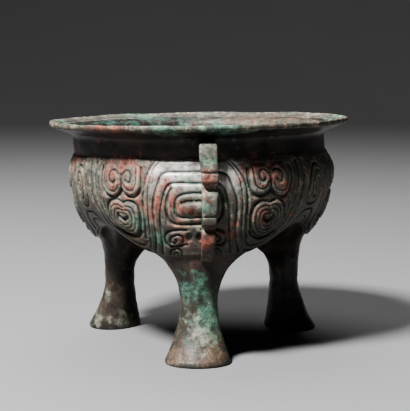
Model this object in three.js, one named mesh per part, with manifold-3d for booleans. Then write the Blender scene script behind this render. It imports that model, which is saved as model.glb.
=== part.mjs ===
// A lobed three-legged bronze vessel with a wide everted rim, cast in one piece and hollow down to its lobes.
// The lobes run down into solid trumpet-shaped legs, a notched flange stands over each leg, and raised
// scrollwork fills the band between the shoulder and the belly's lower edge, the hem.
// Millimetres, +Z up, origin on the floor under the middle of the rim, front leg towards -Y.

import * as THREE from "three";
import { ParametricGeometry } from "three/addons/geometries/ParametricGeometry.js";
import { mergeGeometries, mergeVertices } from "three/addons/utils/BufferGeometryUtils.js";
import Module from "manifold-3d";

const { Vector2, Vector3, CubicBezierCurve, LineCurve, QuadraticBezierCurve, QuadraticBezierCurve3 } = THREE;

// Rim and neck
const RIM_RADIUS = 90;
const RIM_HEIGHT = 135.9;
const RIM_EDGE = 3.1;
const RIM_DROP = 4.6; // the dished top falls this far from its edge to the mouth
const NECK_RADIUS = 76;
const NECK_TOP = 125.5;
const NECK_FOOT = 117;
const WALL = 3.3;
const RIM_ROOT = 5; // how far out of the neck the rim's straight underside starts
const UNDER_SHARE = 0.75; // part of the top's fall that the underside has
const LIP_REACH = 3.5; // rounding between the mouth and the rim's top
const LIP_BEND = 1; // how far below the rim's surfaces the roundings' corners lie

// Belly: its widest ring, and the hem, which is lowest and furthest out over each leg
const BELLY_RADIUS = 78.6;
const BELLY_HEIGHT = 104;
const BELLY_DROP = 0.45; // share of the fall to the hem over which the side stays upright
const SHOULDER_RISE = 5.5; // the shoulder leaves the widest ring upright for this far
const SHOULDER_TUCK = 4.5; // and meets the neck upright for this far
const HEM_RADIUS = 62;
const HEM_HEIGHT = 60.5;
const HEM_SLOPE = THREE.MathUtils.degToRad(17);
const HEM_TANGENT = 9;
const LOBE_RADIUS = 9; // what a leg adds to the hem's radius, slope and tangent
const LOBE_SLOPE = THREE.MathUtils.degToRad(59);
const LOBE_TANGENT = 5;
const ARCH_HEIGHT = 14.5; // rise of the hem half way between two legs
const LOBE_POWER = 8; // the higher, the narrower the lobes
const ARCH_POWER = 4; // the higher, the narrower the arches

// Bowl floor and underside
const FLOOR_RADIUS = 50;
const FLOOR_LOBE = 7;
const FLOOR_EDGE = 62.8;
const FLOOR_ARCH = 13;
const FLOOR_MIDDLE = 69.4;
const FLOOR_BEND = new Vector2(17, 1.5); // from the floor's edge to the corner of the curve up the wall
const FLOOR_BEND_LOBE = 4; // what a lobe takes off that
const FLOOR_FLAT = 0.4; // share of the floor's radius that is level about the middle
const FLOOR_HOLLOW = new Vector2(0.76, 1.3); // the lowest ring: share of the radius, depth below the edge
const UNDERSIDE_MIDDLE = 66;
const CROTCH_BEND = new Vector2(38, 67.2);

// Legs: half-widths across and along the radius at the waist and the foot
const LEG_COUNT = 3;
const WAIST_HEIGHT = 33;
const WAIST_RING = 60.6;
const WAIST_ACROSS = 10.6;
const WAIST_ALONG = 8.45;
const FOOT_RING = 65;
const FOOT_ACROSS = 18.7;
const FOOT_ALONG = 15.3;
const FOOT_EDGE = 1.6;
const FOOT_ROUNDING = 0.7;
const FOOT_BEND = 20;
const FLARE_SLOPE = 0.27; // share of the flare's rise that is left to its outer end

// Flanges, each a little to the right of its leg, and their teeth from the top down
const FLANGE_TURN = THREE.MathUtils.degToRad(3.9);
const FLANGE_TOP = 126;
const FLANGE_END = 57;
const FLANGE_WIDTH = 10;
const FLANGE_END_WIDTH = 7.2;
const FLANGE_BEVEL = 0.7;
const FLANGE_ROOT = 1.6; // how deep the root sits in the wall
const FLANGE_CHAMFER = 1.2;
const TOOTH_LIP = 1; // how far a lower tooth's tip hangs below its hooked top
const FLANGE_TAIL = 4; // rise of the corner that rounds off the end
const ROOT_DROPS = [1, 0.85, 0.6, 0.3, 0]; // shares of the way from the shoulder to the hem
const TEETH = [
  { top: FLANGE_TOP, foot: 104, reach: 86.3, notch: 81.6 },
  { top: 98, foot: 80.3, reach: 85.3, notch: 79.4 },
  { top: 76, foot: 68, reach: 81.3, notch: 74 },
];

// Scrollwork
const BAND_HEIGHT = 57; // shoulder line to hem, measured down the belly
const SHOULDER_SHARE = 0.22; // the part of it above the widest ring
const SCROLL_TURN = THREE.MathUtils.degToRad(-2.6); // the scrollwork sits a little to the left of the legs
const RELIEF = 1.3;
const SINK = 0.9; // how deep a raised band's root sits in the wall
const BEVEL = 0.5;
const HALF_PANEL = (Math.PI / LEG_COUNT) * BELLY_RADIUS; // from a leg to half way to the next

// Scrollwork as [across, down] places beside a leg: bands that cross an upright line of symmetry, bands on
// both sides of the leg, and domed bosses: brow, lower brow, eye ring and arch; jaw curl, swag and hem swag;
// eye, near volute, far volute and great spiral
const CROSSING_BANDS = [
  { line: 0, width: 6, route: [[0, 3.6], [17, 4], [24.5, 10], [27.5, 20], [27.8, 36], [27, 53]] },
  { line: 0, width: 4.2, route: [[0, 10.3], [14.5, 10.6], [20.5, 16.5], [22, 30]] },
  { line: 0, width: 3.8, route: [[0, 15.8], [12, 16], [16.3, 20.5], [16.3, 28.5], [12, 33], [1, 33.2]] },
  { line: HALF_PANEL, width: 2.8, route: [[HALF_PANEL, 3.4], [77.5, 5], [73.5, 11], [72.4, 26]] },
];
const SIDE_BANDS = [
  { width: 3, route: [[14.4, 47], [13.6, 39], [8.6, 39], [7.4, 47]] },
  {
    width: 2.8,
    route: [[31.8, 24], [31.8, 35], [37.5, 43], [44.5, 45], [52, 43], [58.5, 34], [61, 20], [61.5, 5]],
  },
  { width: 3, route: [[33, 49.5], [45, 51.5], [57, 46.5], [64.5, 34], [66.8, 20], [67, 6]] },
];
const SIDE_BOSSES = [
  { place: [6.2, 24.4], size: [5.6, 5.4], rise: 2 },
  { place: [36.7, 12.8], size: [6.5, 7.7], rise: 1.9 },
  { place: [51.3, 12.8], size: [6.8, 7.9], rise: 1.9 },
  { place: [44.2, 31], size: [11.2, 9.2], rise: 1.7 },
];
const MIDDLE_BOSS = { place: [HALF_PANEL, 18], size: [5.2, 10.4], rise: RELIEF };
const BOSS_SHOULDER = { share: 0.92, rise: 0.6 }; // shares of a boss's size and rise where its side turns in
const BOSS_CROWN = 0.55; // share of its size that is flat on top

// Casting faults: the body stands off the rim's middle, leans a little, and its feet are out of true
const BODY_SHIFT = 1.8;
const SHIFT_FROM = 102;
const SHIFT_TO = 126;
const LEAN = Math.tan(THREE.MathUtils.degToRad(0.9));
const LEAN_FROM = 36;
const LEAN_TO = 66;
const FOOT_SHIFTS = [new Vector3(-1.3, -0.8, 0), new Vector3(0, 1, 0), new Vector3(0, 4.5, 0)];

// Fineness of the facets
const COLUMNS = 36;
const SECTOR = COLUMNS / LEG_COUNT;
const BOSS_SIDES = 8;
const CROTCH_STEPS = 3;
const LOWER_STEPS = 3;
const FLARE_STEPS = 4;
const EVEN_RIBS = 0.6; // 0: ribs spread as the hem does, 1: evenly round the leg
const BELLY_STEPS = 5;
const SHOULDER_STEPS = 2;
const LIP_STEPS = 2;
const INSIDE_STEPS = 4;
const FLOOR_STEPS = 2;
const NORMAL_STEP = 0.004; // distance either way over which the belly's direction is taken

const wasm = await Module();
wasm.setup();

// Angle of a column from -Y, going round to the right; columns past a full turn come back to the same number.
function azimuthOf(column) {
  return ((((column % COLUMNS) + COLUMNS) % COLUMNS) * 2 * Math.PI) / COLUMNS - Math.PI / 2;
}

// A point at a radius and height in the upright plane of an azimuth.
function around(azimuth, { x: radius, y: height }) {
  return new Vector3(radius * Math.cos(azimuth), radius * Math.sin(azimuth), height);
}

// Angle to the nearest leg, between half a sector either way.
function turnFromLeg(azimuth) {
  const sector = (2 * Math.PI) / LEG_COUNT;
  return THREE.MathUtils.euclideanModulo(azimuth + Math.PI / 2 + sector / 2, sector) - sector / 2;
}

// How far a direction belongs to a leg's lobe, 1 over the leg and 0 half way to the next.
function lobe(turn) {
  return Math.cos((LEG_COUNT / 2) * turn) ** LOBE_POWER;
}

// How far the hem has risen into the arch between two legs.
function arch(turn) {
  return Math.sin((LEG_COUNT / 2) * turn) ** ARCH_POWER;
}

// Outer side from the hem up to the widest ring.
function bellyCurve(turn) {
  const swell = lobe(turn);
  const hem = new Vector2(HEM_RADIUS + LOBE_RADIUS * swell, HEM_HEIGHT + ARCH_HEIGHT * arch(turn));
  const slope = HEM_SLOPE + LOBE_SLOPE * swell;
  const tangent = HEM_TANGENT + LOBE_TANGENT * swell;
  return new CubicBezierCurve(
    hem,
    new Vector2(hem.x + tangent * Math.cos(slope), hem.y + tangent * Math.sin(slope)),
    new Vector2(BELLY_RADIUS, BELLY_HEIGHT - BELLY_DROP * (BELLY_HEIGHT - hem.y)),
    new Vector2(BELLY_RADIUS, BELLY_HEIGHT),
  );
}

// Outer shoulder from the widest ring up to the neck, set in by a wall for the inside.
function shoulderCurve(inset) {
  return new CubicBezierCurve(
    new Vector2(BELLY_RADIUS - inset, BELLY_HEIGHT),
    new Vector2(BELLY_RADIUS - inset, BELLY_HEIGHT + SHOULDER_RISE),
    new Vector2(NECK_RADIUS - inset, NECK_FOOT - SHOULDER_TUCK),
    new Vector2(NECK_RADIUS - inset, NECK_FOOT),
  );
}

// Inner side from the widest ring down to the edge of the floor, then the floor in to the middle.
function insideCurves(turn) {
  const swell = lobe(turn);
  const rise = arch(turn);
  const edge = new Vector2(FLOOR_RADIUS + FLOOR_LOBE * swell, FLOOR_EDGE + FLOOR_ARCH * rise);
  const bend = edge.clone().add(FLOOR_BEND).setX(edge.x + FLOOR_BEND.x - FLOOR_BEND_LOBE * swell);
  const inner = BELLY_RADIUS - WALL;
  return [
    new CubicBezierCurve(
      new Vector2(inner, BELLY_HEIGHT),
      new Vector2(inner, BELLY_HEIGHT - BELLY_DROP * (BELLY_HEIGHT - edge.y)),
      bend,
      edge,
    ),
    new CubicBezierCurve(
      edge,
      new Vector2(FLOOR_HOLLOW.x * edge.x, edge.y - FLOOR_HOLLOW.y),
      new Vector2(FLOOR_FLAT * edge.x, FLOOR_MIDDLE),
      new Vector2(0, FLOOR_MIDDLE),
    ),
  ];
}

// The everted rim: underside out to the edge, up the edge, and in over the dished top to the mouth.
function rimCurves() {
  const mouth = NECK_RADIUS - WALL;
  const edgeFoot = new Vector2(RIM_RADIUS, RIM_HEIGHT - RIM_EDGE);
  const under = new Vector2(NECK_RADIUS + RIM_ROOT, RIM_HEIGHT - RIM_EDGE - RIM_DROP * UNDER_SHARE);
  const lip = new Vector2(mouth + LIP_REACH, RIM_HEIGHT - RIM_DROP);
  const root = new Vector2(NECK_RADIUS, under.y - LIP_BEND);
  return [
    new QuadraticBezierCurve(new Vector2(NECK_RADIUS, NECK_TOP), root, under),
    new LineCurve(under, edgeFoot),
    new LineCurve(edgeFoot, new Vector2(RIM_RADIUS, RIM_HEIGHT)),
    new LineCurve(new Vector2(RIM_RADIUS, RIM_HEIGHT), lip),
    new QuadraticBezierCurve(lip, new Vector2(mouth, lip.y - LIP_BEND), new Vector2(mouth, NECK_TOP)),
  ];
}

// The wall's section in one upright plane: up the outside from the hem, over the rim, down to the floor.
function section(turn) {
  const [under, slope, edge, top, lip] = rimCurves();
  const [wall, floor] = insideCurves(turn);
  const mouth = NECK_RADIUS - WALL;
  const steps = [
    [bellyCurve(turn), BELLY_STEPS],
    [shoulderCurve(0), SHOULDER_STEPS],
    [new LineCurve(new Vector2(NECK_RADIUS, NECK_FOOT), new Vector2(NECK_RADIUS, NECK_TOP)), 1],
    [under, 1],
    [slope, 1],
    [edge, 1],
    [top, 1],
    [lip, LIP_STEPS],
    [new LineCurve(new Vector2(mouth, NECK_TOP), new Vector2(mouth, NECK_FOOT)), 1],
    [new CubicBezierCurve(...reversed(shoulderCurve(WALL))), 1],
    [wall, INSIDE_STEPS],
    [floor, FLOOR_STEPS],
  ];
  return steps.flatMap(([curve, divisions], i) => curve.getPoints(divisions).slice(i ? 1 : 0));
}

// A cubic curve's control points in the other direction.
function reversed({ v0, v1, v2, v3 }) {
  return [v3, v2, v1, v0];
}

// Equal rows of points as a sheet, two triangles to a cell.
function sheet(rows) {
  const columns = rows[0].length - 1;
  const stacks = rows.length - 1;
  const place = (u, v, target) => target.copy(rows[Math.round(v * stacks)][Math.round(u * columns)]);
  return new ParametricGeometry(place, columns, stacks);
}

// Rows from columns of points, or columns from rows.
function transposed(lines) {
  return lines[0].map((_, i) => lines.map((line) => line[i]));
}

// The wall and bowl as one sheet, open only at the hem and the underside.
function wallSheet() {
  const columns = Array.from({ length: COLUMNS + 1 }, (_, k) => {
    const azimuth = azimuthOf(k);
    return section(turnOfColumn(k)).map((p) => around(azimuth, p));
  });
  return sheet(transposed(columns));
}

// A column's angle to its own leg, the same number for every leg.
function turnOfColumn(column) {
  const place = THREE.MathUtils.euclideanModulo(column + SECTOR / 2, SECTOR) - SECTOR / 2;
  return (place * 2 * Math.PI) / COLUMNS;
}

// The edge that one leg's skin grows to: out along a crotch line, along the hem, back along the next.
function sectorEdge(leg) {
  const middle = leg * SECTOR;
  const hem = Array.from({ length: SECTOR + 1 }, (_, i) => {
    const column = middle - SECTOR / 2 + i;
    return around(azimuthOf(column), bellyCurve(turnOfColumn(column)).getPoint(0));
  });
  const crotch = (column) => {
    const corner = bellyCurve(turnOfColumn(column)).getPoint(0);
    const line = new QuadraticBezierCurve(corner, CROTCH_BEND, new Vector2(0, UNDERSIDE_MIDDLE));
    return line.getPoints(CROTCH_STEPS).slice(1).map((p) => around(azimuthOf(column), p));
  };
  return [...crotch(middle - SECTOR / 2).reverse(), ...hem, ...crotch(middle + SECTOR / 2)];
}

// One leg from the middle of its foot up to the hem; each rib is two parabolas, upright at the waist.
function legSheet(leg) {
  const azimuth = azimuthOf(leg * SECTOR);
  const out = new Vector3(Math.cos(azimuth), Math.sin(azimuth), 0);
  const aside = new Vector3(-out.y, out.x, 0);
  const ringPoint = (ring, along, across, angle, height) =>
    new Vector3(0, 0, height)
      .addScaledVector(out, ring + along * Math.cos(angle))
      .addScaledVector(aside, across * Math.sin(angle));
  const edge = sectorEdge(leg);
  const last = edge.length - 1;
  const stand = FOOT_SHIFTS[leg];
  const middle = ringPoint(FOOT_RING, 0, 0, 0, 0).add(stand);
  const ribs = edge.map((end, j) => {
    const even = -Math.PI + (2 * Math.PI * j) / last;
    const away = end.clone().addScaledVector(out, -WAIST_RING);
    const seen = j % last === 0 ? even : Math.atan2(away.dot(aside), away.dot(out));
    const angle = EVEN_RIBS * even + (1 - EVEN_RIBS) * seen;
    const turnIn = j % last === 0 ? Math.PI : angle;
    const soleAlong = FOOT_ALONG - FOOT_ROUNDING;
    const soleAcross = FOOT_ACROSS - FOOT_ROUNDING;
    const sole = ringPoint(FOOT_RING, soleAlong, soleAcross, turnIn, 0).add(stand);
    const foot = ringPoint(FOOT_RING, FOOT_ALONG, FOOT_ACROSS, turnIn, FOOT_EDGE).add(stand);
    const waist = ringPoint(WAIST_RING, WAIST_ALONG, WAIST_ACROSS, turnIn, WAIST_HEIGHT);
    const lower = new QuadraticBezierCurve3(foot, waist.clone().setZ(FOOT_BEND), waist);
    const flareBend = waist.clone().setZ(end.z - FLARE_SLOPE * (end.z - WAIST_HEIGHT));
    const flare = new QuadraticBezierCurve3(waist, flareBend, end);
    return [middle, sole, ...lower.getPoints(LOWER_STEPS), ...flare.getPoints(FLARE_STEPS).slice(1)];
  });
  return sheet(transposed(ribs));
}

// A closed geometry as a solid that can be joined and cut.
function solid(geometry) {
  geometry.deleteAttribute("normal");
  geometry.deleteAttribute("uv");
  const welded = mergeVertices(geometry);
  return new wasm.Manifold(
    new wasm.Mesh({
      numProp: 3,
      vertProperties: welded.attributes.position.array,
      triVerts: new Uint32Array(welded.index.array),
    }),
  );
}

// Point on the decorated belly, where drop runs from 0 at the shoulder line to 1 at the hem.
function bellyPoint(azimuth, drop) {
  const share = THREE.MathUtils.clamp(drop, 0, 1);
  const curve = share < SHOULDER_SHARE ? shoulderCurve(0) : bellyCurve(turnFromLeg(azimuth));
  const t = share < SHOULDER_SHARE
    ? 1 - share / SHOULDER_SHARE
    : (1 - share) / (1 - SHOULDER_SHARE);
  return around(azimuth, curve.getPoint(t));
}

// Outward direction of the decorated belly.
function bellyNormal(azimuth, drop) {
  const aside = bellyPoint(azimuth + NORMAL_STEP, drop).sub(bellyPoint(azimuth - NORMAL_STEP, drop));
  const up = bellyPoint(azimuth, drop - NORMAL_STEP).sub(bellyPoint(azimuth, drop + NORMAL_STEP));
  return aside.cross(up).normalize();
}

// Rings of points as a closed skin, each end drawn together in its middle.
function closedSkin(rings) {
  const drawn = (ring) => {
    const middle = ring.reduce((sum, p) => sum.add(p), new Vector3()).divideScalar(ring.length);
    return ring.map(() => middle);
  };
  const rows = [drawn(rings[0]), ...rings, drawn(rings.at(-1))];
  return solid(sheet(rows.map((ring) => [...ring, ring[0]])));
}

// A raised band along a route of panel points.
function band(panel, route, width) {
  const feet = route.map(([across, down]) => panel(across, down));
  const rings = feet.map(({ point, normal }, i) => {
    const before = feet[Math.max(i - 1, 0)].point;
    const after = feet[Math.min(i + 1, feet.length - 1)].point;
    const side = normal.clone().cross(after.clone().sub(before)).normalize();
    const corner = (half, height) =>
      point.clone().addScaledVector(side, half).addScaledVector(normal, height);
    const half = width / 2;
    const top = half - BEVEL;
    return [corner(-half, -SINK), corner(half, -SINK), corner(top, RELIEF), corner(-top, RELIEF)];
  });
  return closedSkin(rings);
}

// A raised oval boss with a domed top.
function boss(panel, [across, down], { size: [halfAcross, halfDown], rise }) {
  const { normal } = panel(across, down);
  const ring = (share, height) =>
    Array.from({ length: BOSS_SIDES }, (_, i) => {
      const angle = (2 * Math.PI * i) / BOSS_SIDES;
      const x = across + share * halfAcross * Math.cos(angle);
      const y = down - share * halfDown * Math.sin(angle);
      return panel(x, y).point.addScaledVector(normal, height);
    });
  const shoulder = ring(BOSS_SHOULDER.share, rise * BOSS_SHOULDER.rise);
  return closedSkin([ring(1, -SINK), shoulder, ring(BOSS_CROWN, rise)]);
}

// Places on the belly beside one leg: across runs to the right along the widest ring, down from the shoulder.
function panelOf(leg) {
  return (across, down) => {
    const azimuth = azimuthOf(leg * SECTOR) + SCROLL_TURN + across / BELLY_RADIUS;
    const drop = down / BAND_HEIGHT;
    return { point: bellyPoint(azimuth, drop), normal: bellyNormal(azimuth, drop) };
  };
}

// A route followed by its own mirror image about an upright line, with the point on that line used once.
function mirrored(route, line) {
  const image = route.map(([across, down]) => [2 * line - across, down]);
  return [...image.reverse(), ...route.slice(1)];
}

// The scrollwork that belongs to one leg.
function scrollwork(leg) {
  const panel = panelOf(leg);
  const crossing = CROSSING_BANDS.map(({ line, width, route }) => band(panel, mirrored(route, line), width));
  const sides = [1, -1].flatMap((side) => {
    const beside = ([across, down]) => [side * across, down];
    return [
      ...SIDE_BOSSES.map((shape) => boss(panel, beside(shape.place), shape)),
      ...SIDE_BANDS.map(({ width, route }) => band(panel, route.map(beside), width)),
    ];
  });
  return [...crossing, boss(panel, MIDDLE_BOSS.place, MIDDLE_BOSS), ...sides];
}

// A flange's outline in its upright plane: teeth with square feet and hooked tops, rooted inside the wall.
function flangeOutline() {
  const root = (drop) => {
    const point = bellyPoint(FLANGE_TURN - Math.PI / 2, drop);
    return new Vector2(Math.hypot(point.x, point.y) - FLANGE_ROOT, point.z);
  };
  const [top, ...lower] = TEETH;
  const shape = new THREE.Shape();
  shape.moveTo(NECK_RADIUS - FLANGE_ROOT, top.top);
  shape.lineTo(top.reach - FLANGE_CHAMFER, top.top);
  shape.lineTo(top.reach, top.top - FLANGE_CHAMFER);
  let above = top;
  for (const tooth of lower) {
    shape.lineTo(above.reach, above.foot);
    shape.lineTo(above.notch, above.foot);
    shape.quadraticCurveTo(above.notch, tooth.top, tooth.reach, tooth.top - TOOTH_LIP);
    above = tooth;
  }
  const end = root(1);
  shape.lineTo(above.reach, above.foot);
  shape.quadraticCurveTo(above.notch, FLANGE_END + FLANGE_TAIL, end.x, FLANGE_END);
  for (const drop of ROOT_DROPS) {
    const point = root(drop);
    shape.lineTo(point.x, point.y);
  }
  return shape;
}

// One flange, narrowing from its top to its end.
function flange(leg) {
  const geometry = new THREE.ExtrudeGeometry(flangeOutline(), {
    curveSegments: 2,
    depth: FLANGE_WIDTH - 2 * FLANGE_BEVEL,
    bevelSize: FLANGE_BEVEL,
    bevelOffset: -FLANGE_BEVEL,
    bevelThickness: FLANGE_BEVEL,
    bevelSegments: 1,
  }).translate(0, 0, FLANGE_BEVEL - FLANGE_WIDTH / 2);
  const position = geometry.attributes.position;
  for (let i = 0; i < position.count; i++) {
    const share = (FLANGE_TOP - position.getY(i)) / (FLANGE_TOP - FLANGE_END);
    const narrowing = THREE.MathUtils.lerp(1, FLANGE_END_WIDTH / FLANGE_WIDTH, share);
    position.setZ(i, position.getZ(i) * narrowing);
  }
  geometry.rotateX(Math.PI / 2).rotateZ(azimuthOf(leg * SECTOR) + FLANGE_TURN);
  return solid(geometry);
}

// Shifts and leans the finished casting: the feet stay flat on the floor and the rim stays over the origin.
function settle(geometry) {
  const position = geometry.attributes.position;
  for (let i = 0; i < position.count; i++) {
    const height = position.getZ(i);
    const body = 1 - THREE.MathUtils.smoothstep(height, SHIFT_FROM, SHIFT_TO);
    const lift = LEAN * position.getX(i) * THREE.MathUtils.smoothstep(height, LEAN_FROM, LEAN_TO);
    position.setX(i, position.getX(i) + BODY_SHIFT * body);
    position.setZ(i, height + lift);
  }
  return geometry;
}

// The whole casting.
function vessel() {
  const legs = Array.from({ length: LEG_COUNT }, (_, leg) => leg);
  const body = solid(mergeGeometries([wallSheet(), ...legs.map(legSheet)]));
  const added = legs.flatMap((leg) => [flange(leg), ...scrollwork(leg)]);
  const cast = added.reduce((whole, piece) => whole.add(piece), body).getMesh();
  const geometry = new THREE.BufferGeometry()
    .setAttribute("position", new THREE.BufferAttribute(cast.vertProperties, 3))
    .setIndex(new THREE.BufferAttribute(cast.triVerts, 1));
  return settle(geometry);
}

const bronze = new THREE.MeshStandardMaterial({ color: 0x4b4238, roughness: 0.6, metalness: 0.75 });
const group = new THREE.Group();
const casting = new THREE.Mesh(vessel(), bronze);
casting.name = "ding_vessel";
group.add(casting);

export default group;
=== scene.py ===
import math

import bpy
import numpy as np
from bpy.props import FloatProperty, FloatVectorProperty, PointerProperty
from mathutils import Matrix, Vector


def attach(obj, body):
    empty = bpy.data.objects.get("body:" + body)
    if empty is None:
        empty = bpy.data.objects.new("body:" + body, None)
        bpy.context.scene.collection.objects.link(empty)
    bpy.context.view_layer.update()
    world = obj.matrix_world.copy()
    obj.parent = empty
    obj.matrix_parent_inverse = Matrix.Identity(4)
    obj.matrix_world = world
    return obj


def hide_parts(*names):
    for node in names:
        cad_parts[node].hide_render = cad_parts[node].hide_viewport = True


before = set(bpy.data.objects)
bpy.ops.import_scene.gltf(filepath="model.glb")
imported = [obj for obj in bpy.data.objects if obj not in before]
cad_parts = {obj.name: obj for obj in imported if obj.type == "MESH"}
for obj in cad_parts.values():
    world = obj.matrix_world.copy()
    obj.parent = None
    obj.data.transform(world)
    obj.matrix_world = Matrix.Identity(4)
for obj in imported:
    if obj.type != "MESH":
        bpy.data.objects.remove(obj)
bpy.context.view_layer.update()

bl_info = {
    "name": "Lobed bronze vessel",
    "version": (1, 0, 0),
    "blender": (4, 5, 0),
    "location": "View3D > Sidebar > Vessel",
    "description": "Builds a cast bronze tripod vessel with scrollwork, notched flanges and patina",
    "category": "Add Mesh",
}

MM = 0.001
TAU = 2 * math.pi
TINY = 1e-9  # keeps a division from failing
LEGS = (0, 1, 2)
LEG_TURN = TAU / len(LEGS)  # angle from one leg to the next
FRONT = -math.pi / 2  # azimuth of the front leg

# Fineness of the mesh: columns round the scrollwork and round everything else, and rows down each part.
FINE_COLUMNS = 648
COARSE_COLUMNS = 216
FINE_TO_COARSE = FINE_COLUMNS // COARSE_COLUMNS
SECTOR = COARSE_COLUMNS // len(LEGS)
SCROLL_ROWS = 85
CROTCH_STEPS = 13
FLARE_ROWS = 25
SHIN_ROWS = 23
WALL_SAMPLES = 60

# Steps along each stretch of the section, from the floor's middle up the inside and over the rim.
FLOOR_STEPS = 12
INNER_STEPS = 14
SHOULDER_STEPS = 5
NECK_STEPS = 5
LIP_STEPS = 6
TOP_STEPS = 12
EDGE_STEPS = 5
UNDER_STEPS = 6
LIP_ROW = FLOOR_STEPS + INNER_STEPS + SHOULDER_STEPS + NECK_STEPS + LIP_STEPS
TOP_ROW = LIP_ROW + TOP_STEPS
EDGE_ROW = TOP_ROW + EDGE_STEPS

# Form of the bowl in millimetres. A pair is a plain value and what a whole lobe or arch adds to it.
BAND_HEIGHT = 57.0  # shoulder line to hem, measured down the belly
SHOULDER_SHARE = 0.22  # the part of it above the widest ring
LOBE_REACH = 9.0  # how far the hem stands out over a leg
NECK_FOOT = 13.0  # over the widest ring
NECK_TOP = 21.5  # over the widest ring
SHOULDER_PULLS = (5.5, 4.5)  # handles of the shoulder's curve, at the widest ring and at the neck
HEM_SLOPE = (17.0, 59.0)  # steepness of the belly where it leaves the hem, in degrees
HEM_PULL = (9.0, 5.0)  # handle of the belly's curve there
BELLY_PULL = 0.45  # handle at the widest ring, as a share of the height below it
BOWL_RADIUS = (50.0, 7.0)  # ring where the floor inside meets the wall
BOWL_LIFT = (2.3, 13.0)  # that ring over the hem
BOWL_MIDDLE = 8.9  # floor's middle over the hem
FLOOR_PULLS = (0.4, 0.76)  # handles of the floor's curve, as shares of its radius
FLOOR_DIP = 1.3  # its outer handle under the ring
INNER_PULL = (17.0, -4.0)  # handle of the inner wall's curve, outwards
INNER_LIFT = 1.5  # and upwards
CROTCH_MIDDLE = 5.5  # middle of the underside over the hem
CROTCH_BEND = (38.0, 6.7)  # radius of the crotch curve's handle, and its height over the hem

# Form of the rim in millimetres.
LIP_REACH = 3.5  # rounding from the mouth into the rim's top
UNDER_REACH = 5.0  # rounding from the neck into the rim's underside
UNDER_SHARE = 0.75  # part of the dish that the underside follows
CORNER_PULL = 1.0  # handle of both roundings
EDGE_FOOT = (0.8, 0.3)  # lower corner of the edge: inwards and down
EDGE_TOP = (1.0, 0.35)  # upper corner of the edge: inwards and down
EDGE_BULGE = 0.5  # handles of the edge's curve: outwards, over its top and under its foot
EDGE_CROWN = 0.2
EDGE_SAG = 0.1
EDGE_FADE = 5.0  # width of the zone that the chips bite into
TOP_FADE = 3.0  # width over which the rim's rings begin
RING_SPACING = 3.1
RING_HEIGHT = 0.16

# Form of a leg in millimetres.
WAIST_RING = 60.6  # middle of the waist from the axis
FOOT_RING = 65.0  # middle of the foot from the axis
WAIST_DEPTH = 0.8  # size along the radius as a share of the width
FOOT_DEPTH = 0.82
KNEE_HEIGHT = 20.0  # handle of the curve from the waist to the foot
FLARE_PULL = 0.27  # handle of the curve from the waist to the belly, as a share of the height between
RIB_EVENNESS = 0.6
FOOT_CORNER = 1.6  # height of the foot's widest ring
SOLE_RINGS = ((0.12, 0.75), (0.35, 0.25), (0.75, 0.0), (3.0, 0.0), (9.0, 0.0))  # inset and height

# Faults of the casting: body off the rim's middle and leaning, scrollwork and flanges turned, legs uneven.
BODY_SHIFT = 1.8
SHIFT_HEIGHTS = (102.0, 126.0)
LEAN = math.tan(math.radians(0.9))
LEAN_HEIGHTS = (36.0, 66.0)
SCROLL_TURN = math.radians(-2.6)
FLANGE_TURN = math.radians(3.9)
WAIST_SHIFTS = ((-1.1, 0.0), (0.0, 0.0), (0.0, 0.0))
FOOT_SHIFTS = ((-1.9, -0.8), (0.4, 0.4), (0.0, 4.5))

# Heart-topped contour of the great boss, and copies of it drawn in towards a middle, as shares of its size.
BOSS_CONTOUR = (
    (43.6, 23), (41, 21.9), (37, 21.7), (33.4, 23.6), (32, 28), (32.3, 33.5), (35, 38.6), (40, 41.2),
    (46, 41.8), (52, 40), (55.4, 35), (56, 29), (54.2, 24.4), (50, 21.8), (46, 21.9), (43.6, 23),
)
BOSS_MIDDLE = (43.8, 31.4)
BOSS_SHARES = (0.74, 0.54, 0.35)
BOSS_LINE = (0.5, 0.5)  # half width and depth of the copies

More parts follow.
